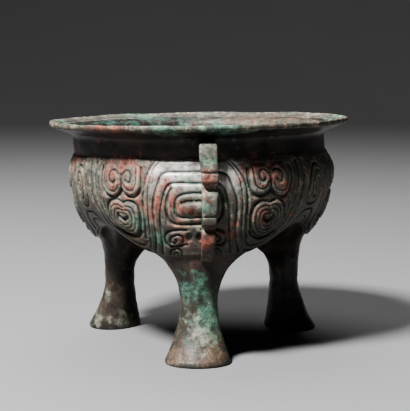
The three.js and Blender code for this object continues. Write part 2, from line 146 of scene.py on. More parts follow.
# Incised lines of one half panel as (route, half width, depth); across runs from the panel's middle over the
# leg to the middle between two legs, down runs from the shoulder line to the hem.
GROOVES = (
    # brow bands that frame the eye and run down beside it
    (((0, 7.5), (8, 7.4), (15.3, 7.6), (18.3, 9.1), (19.8, 12.2), (21.7, 16.1), (23.5, 20.7), (24.2, 26),
      (23.4, 34), (23.8, 41), (25.4, 47), (28, 54)), 0.65, 1.1),
    (((0, 12.8), (6.7, 12.7), (12.8, 12.9), (15.3, 14.3), (16.9, 16.8), (18, 20.7), (19.4, 24.6), (20, 29),
      (19.8, 36), (20.2, 44), (21.4, 53)), 0.65, 1.1),
    (((21.5, 0.8), (24.2, 4.8), (26.9, 9.8), (28.7, 13.6), (29.7, 18), (29.9, 23), (29.6, 30), (29.8, 36),
      (31, 41.2)), 0.65, 1.05),
    (((18.8, 1), (21.8, 4.2), (24.4, 9.4), (26.2, 15), (27, 22), (26.9, 32), (27.3, 40),
      (29, 47)), 0.5, 0.5),
    # eye ring, its outer edge and the slit of the eye
    (((0, 17.1), (5, 17.3), (8.9, 18.2), (10.6, 20.2), (10.9, 24), (10.5, 27.4), (8.4, 29.3), (4, 29.6),
      (0, 29.6)), 0.7, 1.2),
    (((0, 33.6), (5.3, 33.5), (10.3, 33), (13.2, 31.8), (15.2, 29), (16, 25), (15.5, 20.5), (14.3, 17),
      (13, 15.3)), 0.85, 1.4),
    (((1, 21), (4, 20.9), (7.2, 21.8)), 0.7, 1.1),
    # jaw hook with its curl, and the curl under it
    (((4.6, 37.2), (10, 36.4), (15.4, 36.9), (18, 39.4), (18.2, 43.4), (16.4, 46.6), (12.6, 47.2),
      (5, 46.8)), 0.75, 1.2),
    (((6.6, 45), (6.6, 41.6), (8.6, 39.6), (12, 39.6), (14.6, 41.4), (14.6, 43.8), (12.4, 44.8),
      (10.6, 43.6), (11.2, 42.2)), 0.6, 1.1),
    (((8, 54), (8.2, 51), (10.4, 49.2), (13.8, 49.4), (15.6, 51.4), (15.4, 54)), 0.65, 1.0),
    (((10.8, 54), (11, 52.2), (12.6, 51.8), (13, 54)), 0.5, 0.8),
    # pair of volutes that hang from a shared cap, parted by one cut, with inner lines and hooked curls
    (((43.7, 9), (43.7, 16.6)), 0.65, 1.4),
    (((30.4, 6), (30.1, 12.5), (31, 16.4), (33.8, 19.2), (38.5, 19.6), (42, 18.6),
      (43.7, 16.4)), 0.85, 1.8),
    (((43.7, 16.4), (45.4, 19), (49, 21), (53.5, 21), (57.2, 18.2), (58.4, 12), (58, 6)), 0.85, 1.8),
    (((33.4, 6), (33.1, 12), (34.3, 15.4), (37.4, 16.8), (40.6, 15.8), (42, 13.4)), 0.5, 0.7),
    (((55, 6), (55.3, 12.4), (54, 16.4), (50.4, 18.2), (46.8, 17), (45.4, 14)), 0.5, 0.7),
    (((42.4, 9.6), (40.6, 7.4), (38, 7.4), (36.3, 9.6), (36.7, 12.4), (38.8, 13.2),
      (40.2, 11.8)), 0.65, 1.2),
    (((45, 9.6), (46.8, 7.4), (49.6, 7.4), (51.4, 9.8), (51, 12.9), (48.8, 13.8),
      (47.3, 12.2)), 0.65, 1.2),
    # great boss, the deep shadow line under it, and the slit in its middle
    (BOSS_CONTOUR, 0.8, 1.5),
    (((33, 37), (36.5, 40.6), (41, 42.3), (47, 42.9), (53.2, 41.4)), 1.1, 1.8),
    (((40.8, 30.2), (42.6, 31.9), (45.4, 31.7), (47, 30)), 1.0, 1.7),
    # swags that hang round the boss and climb beside the volutes
    (((30.6, 43), (33.5, 46.4), (38, 47.6), (44, 47.6), (50, 46), (56.4, 41.8), (60.6, 35), (62.8, 26),
      (64, 16), (64.2, 3)), 0.8, 1.2),
    (((31, 50.6), (37, 53), (45, 53.6), (52, 52), (58.6, 48.4), (66.4, 35), (68.9, 21),
      (69.3, 3)), 0.75, 1.1),
    (((58.2, 24), (58.4, 30), (56.6, 36.6)), 0.6, 0.8),
    # middle panel between two legs
    (((82.3, 6.2), (78.9, 7.4), (75.9, 12), (75.2, 20), (75.5, 27), (77.6, 31.4), (82.3, 32.4)), 0.7, 1.1),
    (((82.3, 10.2), (80.2, 11), (78.6, 14.5), (78.4, 19.5), (79.4, 24.5), (82.3, 27)), 0.6, 0.9),
    (((82.3, 14.2), (80.9, 15.6), (80.7, 19.5), (82.3, 22.4)), 0.5, 0.8),
    (((82.3, 36.6), (77.4, 36.2), (73.6, 39.4), (69.6, 45.8), (64, 52)), 0.7, 1.0),
    (((82.3, 43.4), (78.4, 43.6), (75, 47), (71.4, 52.4)), 0.65, 0.9),
)

# Raised pads and sunk pits of one half panel as (middle, half sizes, rise).
PADS = (
    ((0.0, 3.8), (19.0, 4.6), 0.25),
    ((3.4, 24.4), (5.0, 3.6), 1.1),
    ((5.0, 24.0), (13.5, 11.5), 0.35),
    ((3.0, 42.0), (1.9, 3.4), -1.5),
    ((12.0, 42.0), (6.2, 5.4), 0.6),
    ((36.9, 12.4), (7.4, 8.4), 1.2),
    ((51.0, 13.0), (8.0, 9.2), 1.2),
    ((43.9, 31.6), (12.6, 10.8), 1.05),
    ((82.3, 18.6), (6.6, 12.4), 0.8),
    ((44.0, 45.0), (13.0, 2.6), 0.3),
)
PAD_FULLNESS = 0.6  # power that rounds a pad's dome

# Where the scrollwork starts and ends, and where it is worn and painted pale as a highlight, most on the
# brow and fading down the belly, as places across and down a half panel.
BAND_START = (0.2, 2.4)
BAND_END = (54.2, 55.4)
BROW_HIGHLIGHT_ACROSS = (22.0, 36.0)
BROW_HIGHLIGHT_DOWN = (10.0, 22.0)
WEAR_AND_LIGHT_DOWN = (17.0, 30.0)
RUBBED_PADS = (0.05, 0.15)  # wear of flat ground, and what each millimetre of a pad adds
RUBBED_LEAST = 0.03

# Distance to the nearest incised line, in its half widths, where there is none.
NO_LINE = 4.0  # on plain parts
FAR_FROM_LINES = 9.0  # at most on the scrollwork
OFF_BAND = 3.0  # added past the scrollwork's ends

# Teeth of a flange as (radius, height), from the root under the rim down to where it dies out over the leg.
FLANGE_ROUTE = (
    (74.0, 126.2), (80.0, 126.2), (85.0, 126.1), (86.2, 125.2), (86.4, 122.0), (86.2, 114.0), (86.1, 110.4),
    (85.1, 109.7), (85.1, 109.3), (85.9, 108.7), (86.0, 105.2), (85.4, 104.3), (82.2, 104.0), (81.2, 103.0),
    (81.2, 100.6), (82.4, 98.9), (84.6, 98.2), (85.5, 96.8), (85.6, 92.0), (85.4, 86.2), (84.5, 85.5),
    (84.5, 85.1), (85.2, 84.4), (85.1, 81.4), (84.4, 80.5), (80.6, 80.1), (79.3, 79.2), (79.2, 77.8),
    (80.2, 76.6), (81.3, 75.4), (81.3, 71.8), (80.3, 68.6), (77.2, 63.6), (73.0, 59.4), (69.0, 57.0),
)
# Half of a flange's section as (side, inset, share of the depth), from its root to the middle of its face.
FLANGE_HALF = (
    (-1, 0, 0), (-1, 0, 0.5), (-1, 1.5, 1), (-0.97, 0.75, 1), (-0.88, 0.25, 1), (-0.7, 0.05, 1),
    (-0.35, 0, 1), (0, 0, 1),
)
FLANGE_WIDTH = ((57.0, 124.0, 125.4, 126.2), (7.0, 10.1, 9.4, 8.0))  # by height
FLANGE_LEAN = ((57.0, 126.0), (-1.5, 0.0))  # sideways, by height
FLANGE_ROOT = 2.2  # depth of its root inside the wall
FLANGE_LEAST = 0.3  # least depth from root to face
FLANGE_ROUNDED = 3.0  # depth from which its corners are fully rounded
FLANGE_PUSH = (0.8, 0.3)  # outward and sideward share of its unevenness

# Bites out of the rim's edge: azimuth in degrees, half width in degrees, depth.
RIM_CHIPS = (
    (-141, 2.2, 0.9), (-128, 1.5, 0.7), (-101, 1.8, 0.6), (-83, 1.2, 0.5), (-62, 2.4, 0.7), (-47, 1.4, 0.8),
    (-20, 1.6, 0.6), (14, 2.0, 0.9), (52, 1.3, 0.6), (96, 2.2, 0.8), (133, 1.4, 0.6), (171, 2.6, 0.9),
    (-170, 1.2, 0.5),
)
# Chip out of one foot, moved in towards the leg's middle.
NOTCH_PLACE = (74.4, 31.0, 3.0)
NOTCH_REACH = 1.7
NOTCH_DEPTH = 2.4
NOTCHED_LEG = (58.0, 33.5)

# Unevenness of each surface as layers of waves of (size, seed, height).
SCROLL_SWAY = ((26.0, 5, 0.35),)
SCROLL_LIFT = ((22.0, 6, 0.3),)
RIM_SKIN = ((7.0, 11, 0.12), (3.2, 12, 0.06))
RIM_RIPPLE = ((40.0, 15, 0.25),)
EARTH_EDGE = ((20.0, 16, 18.0),)
LEG_SKIN = ((14.0, 21, 0.28), (5.0, 22, 0.1))
FLANGE_SKIN = ((5.0, 31, 0.16), (13.0, 32, 0.2))
CRUST_LUMPS = ((9.0, 13, 0.1, 1.1), (4.0, 14, 0.0, 0.45))  # size, seed, level they rise from, height
LEG_SKIN_ROWS = (0.0, 8.0)  # rows over which a leg's unevenness begins under the hem
LEG_SKIN_HEIGHTS = (0.2, 5.0)  # heights between which it dies out over the floor
WAVE_SPREAD = (0.6, 1.7)  # range of a wave's length about its size
WAVE_LEVEL = 1.6  # brings the sum of waves to about -1 to 1

# Old crust, stain and dust of the bowl and rim.
CRUST_HEIGHTS = (104.0, 116.0)
CRUST_RADII = (74.0, 80.0)
CRUST_ROW = LIP_ROW + 2
CRUST_SHARES = (0.12, 0.88)  # on the stained side, and what the earthy side adds
EARTH_ACROSS = (-12.0, 22.0)
STAIN_ROW = LIP_ROW + 4
STAIN_LINE = 0.45  # stain is coloured like the floor of a groove
RING_LINE = (2.4, -1.6)  # and so are the troughs between the rim's rings
DUST_HEIGHTS = (96.0, 118.0)
DUST_SHARES = (0.4, -0.38)  # low in the bowl, and what is lost on the way up
RIM_RUBBED = 0.12
RIM_TOP_CRUST = 0.34
RIM_EDGE_CRUST = 0.9
RIM_EDGE_ROW = TOP_ROW - 2
INSIDE_CRUST = 0.5

# Mottled film and wear elsewhere.
LEG_CRUST = (0.34, 0.04, 0.1)  # on each foot
LEG_BARE = (24.0, 50.0)  # heights between which it dies out up the leg
# Film on the belly, thinning towards the hem so that the lower belly is also painted darker as shade.
WALL_CRUST_AND_SHADE = ((0.0, 0.36, 0.66, 1.0), (0.78, 0.78, 0.26, 0.1))  # by share of the way down the belly
RUBBED_BARE = 0.85  # part of the film that full wear takes off
FLANGE_CRUST = ((66.0, 84.0, 104.0), (0.25, 0.4, 0.85))  # by height
FLANGE_RUBBED = ((66.0, 84.0, 104.0), (0.02, 0.06, 0.25))  # by height

# Patches of corrosion as (x, y, z, reach).
PATCHES = {
    "cuprite": (
        (-48, -62, 108, 6), (-40, -65, 111, 6), (-32, -70, 109, 5), (-47, -64, 101, 5), (-38, -69, 97, 5),
        (-29, -73, 105, 4), (-21, -76, 92, 5), (-19, -77, 101, 4), (-25, -72, 86, 4), (-14, -77, 96, 4),
        (-10, -79, 92, 4), (-5, -79, 87, 4), (-10, -77, 81, 4), (6, -86, 106, 4), (5, -81, 71, 5),
        (-7, -73, 71, 3), (-44, -63, 90, 4), (-31, -70, 92, 4), (-55, -71, 134, 5), (-46, -77, 134, 4),
        (32, -73, 110, 5), (41, -68, 107, 5), (50, -65, 101, 4), (24, -74, 109, 4), (36, -70, 86, 5),
        (18, -73, 77, 4), (-72, -24, 112, 5), (70, 34, 108, 6), (62, 50, 100, 5), (30, 72, 108, 6),
        (-20, 76, 96, 6), (-58, 52, 108, 7), (-74, 18, 92, 5), (78, -8, 104, 5), (4, 78, 112, 5),
        (-40, 66, 84, 5),
    ),
    "malachite": (
        (-3, -68, 41, 6), (1, -69, 46, 4), (6, -68, 31, 7), (9, -69, 22, 7), (2, -70, 24, 5),
        (5, -86, 117, 3), (-17, -88, 134, 7), (14, -89, 134, 8), (-85, 11, 133, 6), (-5, -79, 106, 3),
        (4, -85, 90, 3), (-32, -69, 81, 4), (-21, -69, 71, 4), (60, 30, 40, 6), (52, 44, 24, 7),
        (-48, 50, 46, 7), (-66, 36, 28, 6), (74, 22, 90, 6), (-10, 72, 127, 4), (12, 72, 127, 4),
        (-52, 51, 126, 6), (20, 76, 84, 7), (-70, 34, 100, 6), (88, 12, 134, 8), (-40, 78, 134, 8),
        (42, 50, 70, 7),
    ),
    "cream": (
        (5, -86, 121, 5), (1, -76, 78, 3), (2, -73, 17, 6), (9, -72, 14, 3), (-65, 23, 7, 4.4),
        (-49, 22, 5, 4.4), (-58, 22, 20, 2.6), (-6, -76, 85, 3), (-30, -71, 101, 3), (1, -79, 94, 3),
        (0, -79, 100, 3), (-30, -84, 135, 5), (30, -84, 135, 5), (70, 40, 121, 6), (-74, 40, 121, 6),
        (60, 42, 10, 6), (-46, 52, 9, 6), (0, 89, 135, 6), (76, 46, 135, 5),
    ),
    "earth": (
        (-11, -74, 6, 6), (10, -75, 8, 7), (4, -79, 4, 4), (28, 71, 130, 9), (47, 60, 130, 9),
        (61, 48, 130, 8), (-26, 71, 129, 6), (1, 76, 130, 6), (-67, -40, 102, 6), (-35, -60, 72, 6),
        (48, 56, 124, 9), (30, 66, 123, 8), (20, 20, 69, 16), (-24, 10, 69, 15), (0, -30, 68, 14),
        (40, 40, 8, 6), (-60, 40, 6, 6), (16, 70, 90, 6),
    ),
}
PATCH_EDGE = ((6.0, 0, 0.45), (2.6, 1, 0.25))  # waves in a patch's reach: size, step of the seed, height
PATCH_SPREAD = 1.25
PATCH_SEED = 50
PATCH_SEED_STEP = 3

# Clouds of the patina as (size in metres, detail, roughness, twist).
CLOUDS = (0.018, 5.0, 0.55, 0.0)
GRAIN = (0.0045, 6.0, 0.62, 0.0)
SPECKS = (0.0024, 8.0, 0.72, 0.3)
FINE_GRAIN = (0.0011, 5.0, 0.6, 0.0)
FLOOR_CLOUDS = (0.4, 3.0, 0.55, 0.0)

# Smooth steps of the patina as (from, to) or (from, to, value before, value after).
GROOVE_FLOOR = (0.35, 1.15, 1.0, 0.0)
GROOVE_CLOUDS = (0.4, 0.6, 0.6, 0.9)
GROOVE_GRAIN = (0.45, 0.6)
LIP_INNER = (0.9, 1.4)
LIP_OUTER = (1.7, 2.6, 1.0, 0.0)
LIP_CRUST = (0.05, 0.5, 0.12, 1.0)
LIP_SPECKS = (0.42, 0.6, 0.0, 0.4)
UMBER_CLOUDS = (0.42, 0.66)
RUBBED_GRAIN = (0.34, 0.6, 0.45, 1.0)
CRUST_CLOUDS = (0.3, 0.6, 0.6, 1.0)
PATCH_SPECKS = (0.34, 0.66, -0.5, 0.5)
PATCH_BROKEN = (-0.2, 1.4)
PATCH_COVER = (0.04, 0.5)
PATCH_GRAIN = (0.38, 0.6)
PIT_SPECKS = (0.48, 0.6, 0.0, 0.6)
PIT_RUBBED = (0.1, 0.8, 1.0, 0.35)
ROUGH_GRAIN = (0.3, 0.7, 0.33, 0.45)
ROUGH_CRUST = (0.0, 0.8, 0.0, 0.25)
METAL_CRUST = (0.0, 0.6, 1.0, 0.15)
METAL_RUBBED = (0.0, 0.9, 0.2, 0.4)
CUT_LINES = (0.2, 1.3)
CRUST_BUMP = (0.0, 0.7, 0.5, 1.0)
FLOOR_TONE = (0.3, 0.7)

# Layers of the patina: the mottled film's colours along its clouds, and each patch's strength, lowest first.
MOTTLE_STOPS = (
    (0.35, "bronze"), (0.41, "verdigris"), (0.45, "cream_deep"), (0.48, "cuprite_deep"),
    (0.51, "malachite_deep"), (0.54, "cream"), (0.57, "cuprite"), (0.60, "cuprite_deep"),
    (0.65, "malachite"),
)
MOTTLE_SHARES = (0.42, 0.58)  # of grain and specks
PATCH_LAYERS = (("earth", 0.7), ("cuprite", 0.95), ("malachite", 0.66), ("cream", 0.6))
BUMP_SHARES = (0.6, 0.4)  # of grain and fine grain
BUMP_DISTANCE = 0.0007
CUT_STRENGTH = 0.6
SPECULAR_LEVEL = 0.28

# Stage, with the floor in millimetres and the camera and lights in metres.
FLOOR_RINGS = (400.0, 1500.0)
FLOOR_COLUMNS = 96
SWEEP_START = 2600.0
SWEEP_RADIUS = 2000.0
SWEEP_TOP = 4200.0
SWEEP_STEPS = 25
FLOOR_SHADE = 0.97
FLOOR_ROUGHNESS = 0.85
CAMERA_PLACE = (0.004414, -0.74937, 0.17004)
CAMERA_TURN = math.radians(0.036)
KEY_PLACE = (-0.62, -0.79, 1.42)
KEY_TARGET = (0, 0, 0.08)
KEY_SIZE = 0.3
TOP_PLACE = (-0.15, 0.4, 1.35)
TOP_TARGET = (0, 0.05, 0.1)
TOP_SIZE = 0.9
SURROUND_COLOUR = (0.8, 0.82, 0.85, 1)
VIEW_LOOK = "AgX - Medium High Contrast"

AS_COLOUR = {"size": 3, "subtype": "COLOR", "min": 0, "max": 1}


class VesselSizes(bpy.types.PropertyGroup):
    """Sizes of the casting that a maker would change."""

    rim_radius: FloatProperty(
        name="Rim radius", description="Middle to the rim's edge",
        default=0.090, min=0.05, unit="LENGTH")
    rim_height: FloatProperty(
        name="Rim height", description="Floor to the top of the rim's edge",
        default=0.1359, min=0.05, unit="LENGTH")
    rim_edge: FloatProperty(
        name="Rim edge", description="Thickness of the rim at its edge",
        default=0.0031, min=0.001, unit="LENGTH")
    rim_drop: FloatProperty(
        name="Rim dish", description="Fall of the rim's top from its edge to the mouth",
        default=0.0046, min=0, unit="LENGTH")
    neck_radius: FloatProperty(
        name="Neck radius", description="Outside of the upright neck",
        default=0.076, min=0.03, unit="LENGTH")
    wall: FloatProperty(
        name="Wall", description="Thickness of the neck and shoulder",
        default=0.0033, min=0.001, unit="LENGTH")
    belly_radius: FloatProperty(
        name="Belly radius", description="Outside of the widest ring",
        default=0.0786, min=0.03, unit="LENGTH")
    belly_height: FloatProperty(
        name="Belly height", description="Floor to the widest ring",
        default=0.104, min=0.03, unit="LENGTH")
    hem_radius: FloatProperty(
        name="Hem radius", description="Lower edge of the belly between the legs",
        default=0.062, min=0.03, unit="LENGTH")
    hem_height: FloatProperty(
        name="Hem height", description="Floor to the belly's lower edge over a leg",
        default=0.0605, min=0.02, unit="LENGTH")
    arch_height: FloatProperty(
        name="Arch", description="Rise of the lower edge half way between two legs",
        default=0.0145, min=0, unit="LENGTH")
    waist_height: FloatProperty(
        name="Waist height", description="Floor to the narrowest part of a leg",
        default=0.033, min=0.01, unit="LENGTH")
    waist_across: FloatProperty(
        name="Waist half width", description="Half width of a leg's waist",
        default=0.0106, min=0.003, unit="LENGTH")
    foot_across: FloatProperty(
        name="Foot half width", description="Half width of a leg's foot",
        default=0.0187, min=0.003, unit="LENGTH")
    relief: FloatProperty(
        name="Relief", description="Rise of the scrollwork's bands over the plain wall",
        default=0.0010, min=0, unit="LENGTH")


class PatinaColours(bpy.types.PropertyGroup):
    """Colours of the bronze and of what has grown on it."""

    bronze: FloatVectorProperty(
        name="Bronze", description="Dark brown skin of the metal",
        default=(0.017, 0.0145, 0.013), **AS_COLOUR)
    umber: FloatVectorProperty(
        name="Umber", description="Browner clouds in the dark skin",
        default=(0.052, 0.036, 0.028), **AS_COLOUR)
    # Worn crowns: pale grey-brown of the raised bands, which also stands in for a painted highlight on the
    # brow and upper belly.
    worn_and_highlight: FloatVectorProperty(
        name="Worn crowns", description="Rubbed grey-brown of the raised bands",
        default=(0.520, 0.490, 0.460), **AS_COLOUR)
    verdigris: FloatVectorProperty(
        name="Verdigris", description="Blue-green film in the grooves",
        default=(0.036, 0.096, 0.078), **AS_COLOUR)
    cuprite: FloatVectorProperty(
        name="Cuprite", description="Red corrosion",
        default=(0.310, 0.088, 0.060), **AS_COLOUR)
    cuprite_deep: FloatVectorProperty(
        name="Deep cuprite", description="Dark red between its grains",
        default=(0.090, 0.034, 0.026), **AS_COLOUR)
    malachite: FloatVectorProperty(
        name="Malachite", description="Green corrosion",
        default=(0.120, 0.300, 0.210), **AS_COLOUR)
    malachite_deep: FloatVectorProperty(
        name="Deep malachite", description="Dark green between its grains",
        default=(0.026, 0.062, 0.048), **AS_COLOUR)
    cream: FloatVectorProperty(
        name="Pale crust", description="Chalky pale green crust",
        default=(0.340, 0.350, 0.275), **AS_COLOUR)
    cream_deep: FloatVectorProperty(
        name="Deep pale crust", description="Grey-green between its grains",
        default=(0.095, 0.105, 0.082), **AS_COLOUR)
    earth: FloatVectorProperty(
        name="Earth", description="Brown burial earth",
        default=(0.170, 0.105, 0.062), **AS_COLOUR)
    earth_deep: FloatVectorProperty(
        name="Deep earth", description="Dark brown between its grains",
        default=(0.060, 0.040, 0.028), **AS_COLOUR)


class StageSettings(bpy.types.PropertyGroup):
    """Floor, light and camera."""

    floor_colour: FloatVectorProperty(
        name="Floor", description="Colour of the pale floor",
        default=(0.165, 0.165, 0.168), **AS_COLOUR)
    key_power: FloatProperty(
        name="Key light", description="Power of the soft light at the upper left",
        default=115.0, min=0, unit="POWER")
    top_power: FloatProperty(
        name="Top light", description="Power of the wide light over the back",
        default=14.0, min=0, unit="POWER")
    sky_strength: FloatProperty(
        name="Surround", description="Brightness of the plain surround",
        default=0.015, min=0)
    lens: FloatProperty(
        name="Lens", description="Focal length that frames the object",
        default=107.84, min=10)
    pitch: FloatProperty(
        name="Pitch", description="How far the camera looks down",
        default=math.radians(6.696), subtype="ANGLE")


class Measures:
    """The sizes of a property group in millimetres, under the same names."""

    def __init__(self, group):
        for name in group.__annotations__:
            setattr(self, name, getattr(group, name) / MM)


def smoothstep(value, low, high):
    """Cubic step: 0 up to low, 1 from high on, and 3t^2 - 2t^3 of the share t in between."""
    t = np.clip((value - low) / (high - low), 0, 1)
    return t * t * (3 - 2 * t)


def grown(pair, share):
    """A plain value plus a share of what is added to it."""
    return pair[0] + pair[1] * share


def bezier(points, t):
    """Point of a Bezier curve at t, by going the share t along each side of its control polygon until one
    point is left; each control point is a pair of arrays."""
    level = list(points)
    while len(level) > 1:
        level = [tuple(a + (b - a) * t for a, b in zip(p, q)) for p, q in zip(level, level[1:])]
    return level[0]


def turn_from_leg(azimuth):
    """Signed angle from the nearest leg: the azimuth from the front leg, wrapped at half a leg's turn."""
    return (azimuth - FRONT + LEG_TURN / 2) % LEG_TURN - LEG_TURN / 2


def lobe(turn):
    """Share in a leg's lobe: the eighth power of the cosine of one and a half times the turn from it."""
    return np.cos(1.5 * turn) ** 8


def arch(turn):
    """Share of the hem's rise between two legs: the fourth power of the sine of the same angle."""
    return np.sin(1.5 * turn) ** 4


def around(azimuth, radius, height):
    """Points from cylinder coordinates: radius times cosine and sine of the azimuth, and the height."""
    radius, height, azimuth = np.broadcast_arrays(radius, height, azimuth)
    return np.stack([radius * np.cos(azimuth), radius * np.sin(azimuth), height], axis=-1)


def directions(azimuth):
    """Level unit vectors at an azimuth: outwards from the axis, and a quarter turn on from that."""
    out = np.array([math.cos(azimuth), math.sin(azimuth), 0])
    return out, np.array([-out[1], out[0], 0])


def hem_corner(s, turn):
    """Radius and height of the belly's lower edge: out with a leg's lobe, up with the arch between legs."""
    return s.hem_radius + LOBE_REACH * lobe(turn), s.hem_height + s.arch_height * arch(turn)


def shoulder_controls(s, inset):
    """Control points of the shoulder from the widest ring up to the neck, set in for the inside."""
    foot = s.belly_height + NECK_FOOT
    low_pull, high_pull = SHOULDER_PULLS
    return (
        (s.belly_radius - inset, s.belly_height),
        (s.belly_radius - inset, s.belly_height + low_pull),
        (s.neck_radius - inset, foot - high_pull),
        (s.neck_radius - inset, foot),
    )


def outer_wall(s, turn, drop):
    """Radius and height of the decorated wall: the shoulder's cubic above the widest ring and the belly's
    cubic below it; the belly leaves the hem at a slope that steepens over each leg and arrives upright at
    the widest ring."""
    swell = lobe(turn)
    hem = hem_corner(s, turn)
    slope = np.radians(grown(HEM_SLOPE, swell))
    pull = grown(HEM_PULL, swell)
    belly = (
        hem,
        (hem[0] + pull * np.cos(slope), hem[1] + pull * np.sin(slope)),
        (s.belly_radius, s.belly_height - BELLY_PULL * (s.belly_height - hem[1])),
        (s.belly_radius, s.belly_height),
    )
    above = bezier(shoulder_controls(s, 0), 1 - drop / SHOULDER_SHARE)
    below = bezier(belly, (1 - drop) / (1 - SHOULDER_SHARE))
    return tuple(np.where(drop < SHOULDER_SHARE, a, b) for a, b in zip(above, below))


def mouth_section(s, turn):
    """Radius and height of the wall from the middle of the floor up the inside, over the rim and down to the
    neck's foot, as rows of columns: Bezier curves end to end, of which only the floor and the inner wall
    follow the lobes."""
    swell, rise = lobe(turn), arch(turn)
    mouth = s.neck_radius - s.wall
    inner = s.belly_radius - s.wall
    neck_top, neck_foot = s.belly_height + NECK_TOP, s.belly_height + NECK_FOOT
    bowl = (grown(BOWL_RADIUS, swell), s.hem_height + grown(BOWL_LIFT, rise))
    middle = s.hem_height + BOWL_MIDDLE
    near, far = (share * bowl[0] for share in FLOOR_PULLS)
    wall_foot = (bowl[0] + grown(INNER_PULL, swell), bowl[1] + INNER_LIFT)
    wall_top = (inner, s.belly_height - BELLY_PULL * (s.belly_height - bowl[1]))
    rim_foot = s.rim_height - s.rim_edge
    under = (s.neck_radius + UNDER_REACH, rim_foot - UNDER_SHARE * s.rim_drop)
    lip = (mouth + LIP_REACH, s.rim_height - s.rim_drop)
    edge_foot = (s.rim_radius - EDGE_FOOT[0], rim_foot - EDGE_FOOT[1])
    edge_top = (s.rim_radius - EDGE_TOP[0], s.rim_height - EDGE_TOP[1])
    crown = (s.rim_radius + EDGE_BULGE, s.rim_height + EDGE_CROWN)
    sag = (s.rim_radius + EDGE_BULGE, rim_foot - EDGE_SAG)
    stretches = (
        (((0, middle), (near, middle), (far, bowl[1] - FLOOR_DIP), bowl), FLOOR_STEPS),
        ((bowl, wall_foot, wall_top, (inner, s.belly_height)), INNER_STEPS),
        (shoulder_controls(s, s.wall), SHOULDER_STEPS),
        (((mouth, neck_foot), (mouth, neck_top)), NECK_STEPS),
        (((mouth, neck_top), (mouth, lip[1] - CORNER_PULL), lip), LIP_STEPS),
        ((lip, edge_top), TOP_STEPS),
        ((edge_top, crown, sag, edge_foot), EDGE_STEPS),
        ((edge_foot, under), UNDER_STEPS),
        ((under, (s.neck_radius, under[1] - CORNER_PULL), (s.neck_radius, neck_top)), NECK_STEPS),
        (((s.neck_radius, neck_top), (s.neck_radius, neck_foot)), NECK_STEPS),
    )
    rows = []
    for controls, steps in stretches:
        t = np.arange(1, steps + 1)[:, None] / steps
        place = bezier(controls, t)
        rows.append(np.stack([np.broadcast_to(part, (steps, turn.size)) for part in place], axis=-1))
    return np.concatenate(rows)


def waves(points, size, seed, count=40):
    """Smooth field of about -1 to 1: a sum of plane waves of about one length, in seeded directions."""
    rng = np.random.default_rng(seed)
    direction = rng.normal(size=(count, 3))
    direction /= np.linalg.norm(direction, axis=1, keepdims=True)
    number = TAU / (size * rng.uniform(*WAVE_SPREAD, count))
    phase = rng.uniform(0, TAU, count)
    total = np.zeros(points.shape[:-1])
    for way, pace, start in zip(direction, number, phase):
        total += np.cos(points @ way * pace + start)
    return total / math.sqrt(WAVE_LEVEL * count)


def uneven(points, layers):
    """Sum of layers of waves, each times its height."""
    return sum(height * waves(points, size, seed) for size, seed, height in layers)


def rounded(route, passes=2):
    """An open route with its corners cut at a quarter and three quarters of each side, its ends kept."""
    points = np.array(route, float)
    for _ in range(passes):
        near, far = 0.75 * points[:-1] + 0.25 * points[1:], 0.25 * points[:-1] + 0.75 * points[1:]
        cut = np.stack([near, far], axis=1).reshape(-1, points.shape[1])
        points = np.concatenate([points[:1], cut, points[-1:]])
    return points


def gap_to_route(across, down, route):
    """Distance of every point of a panel from a route: the least distance to any of its straight steps."""
    best = np.full(across.shape, np.inf)
    for (ax, ay), (bx, by) in zip(route[:-1], route[1:]):
        dx, dy = bx - ax, by - ay
        t = np.clip(((across - ax) * dx + (down - ay) * dy) / (dx * dx + dy * dy), 0, 1)
        best = np.minimum(best, (across - ax - t * dx) ** 2 + (down - ay - t * dy) ** 2)
    return np.sqrt(best)


def panel_lines():
    """Every incised line of a half panel: the routes with their corners cut, and the boss's contour drawn in
    towards its middle for its nested lines."""
    lines = [(rounded(route), half_width, depth) for route, half_width, depth in GROOVES]
    contour, middle = rounded(BOSS_CONTOUR), np.array(BOSS_MIDDLE)
    return lines + [(middle + (contour - middle) * share, *BOSS_LINE) for share in BOSS_SHARES]


def ornament(s, across, down):
    """Rise of the scrollwork over the plain wall: a plateau between the shoulder and the hem, plus domed
    pads, minus the deepest of the incised lines, each a bell-shaped valley about its route. Also gives its
    wear with a painted highlight, most on the brow and least low down, so that the upper belly is painted
    lighter as if lit and the lower belly darker as if in shade; and the distance to the nearest line in
    its half widths."""
    cut = np.zeros(across.shape)
    nearest = np.full(across.shape, FAR_FROM_LINES)
    for route, half_width, depth in panel_lines():
        gap = gap_to_route(across, down, route) / half_width
        cut = np.maximum(cut, depth * np.exp(-(gap**2)))
        nearest = np.minimum(nearest, gap)
    dome = np.zeros(across.shape)
    for (x, y), (a, b), rise in PADS:
        reach = ((across - x) / a) ** 2 + ((down - y) / b) ** 2
        dome += rise * np.clip(1 - reach, 0, 1) ** PAD_FULLNESS
    plateau = smoothstep(down, *BAND_START) * (1 - smoothstep(down, *BAND_END))
    # Painted highlight and shade: the brow is worn pale as if lit, and the wear fades down the belly so that
    # the upper belly is painted lighter and the lower belly darker; partly real wear of raised parts.
    brow = (1 - smoothstep(across, *BROW_HIGHLIGHT_ACROSS)) * (1 - smoothstep(down, *BROW_HIGHLIGHT_DOWN))
    rest = (1 - smoothstep(down, *WEAR_AND_LIGHT_DOWN)) * grown(RUBBED_PADS, dome)
    rubbed = plateau * np.clip(brow + rest + RUBBED_LEAST, 0, 1)
    return plateau * (s.relief + dome - cut), rubbed, nearest + OFF_BAND * (1 - plateau)


def outward(grid):
    """Unit normals of a grid that closes on itself across its columns: the cross of its two differences."""
    down = np.gradient(grid, axis=0)
    along = np.roll(grid, -1, axis=1) - np.roll(grid, 1, axis=1)
    normal = np.cross(down, along)
    return normal / np.linalg.norm(normal, axis=-1, keepdims=True)


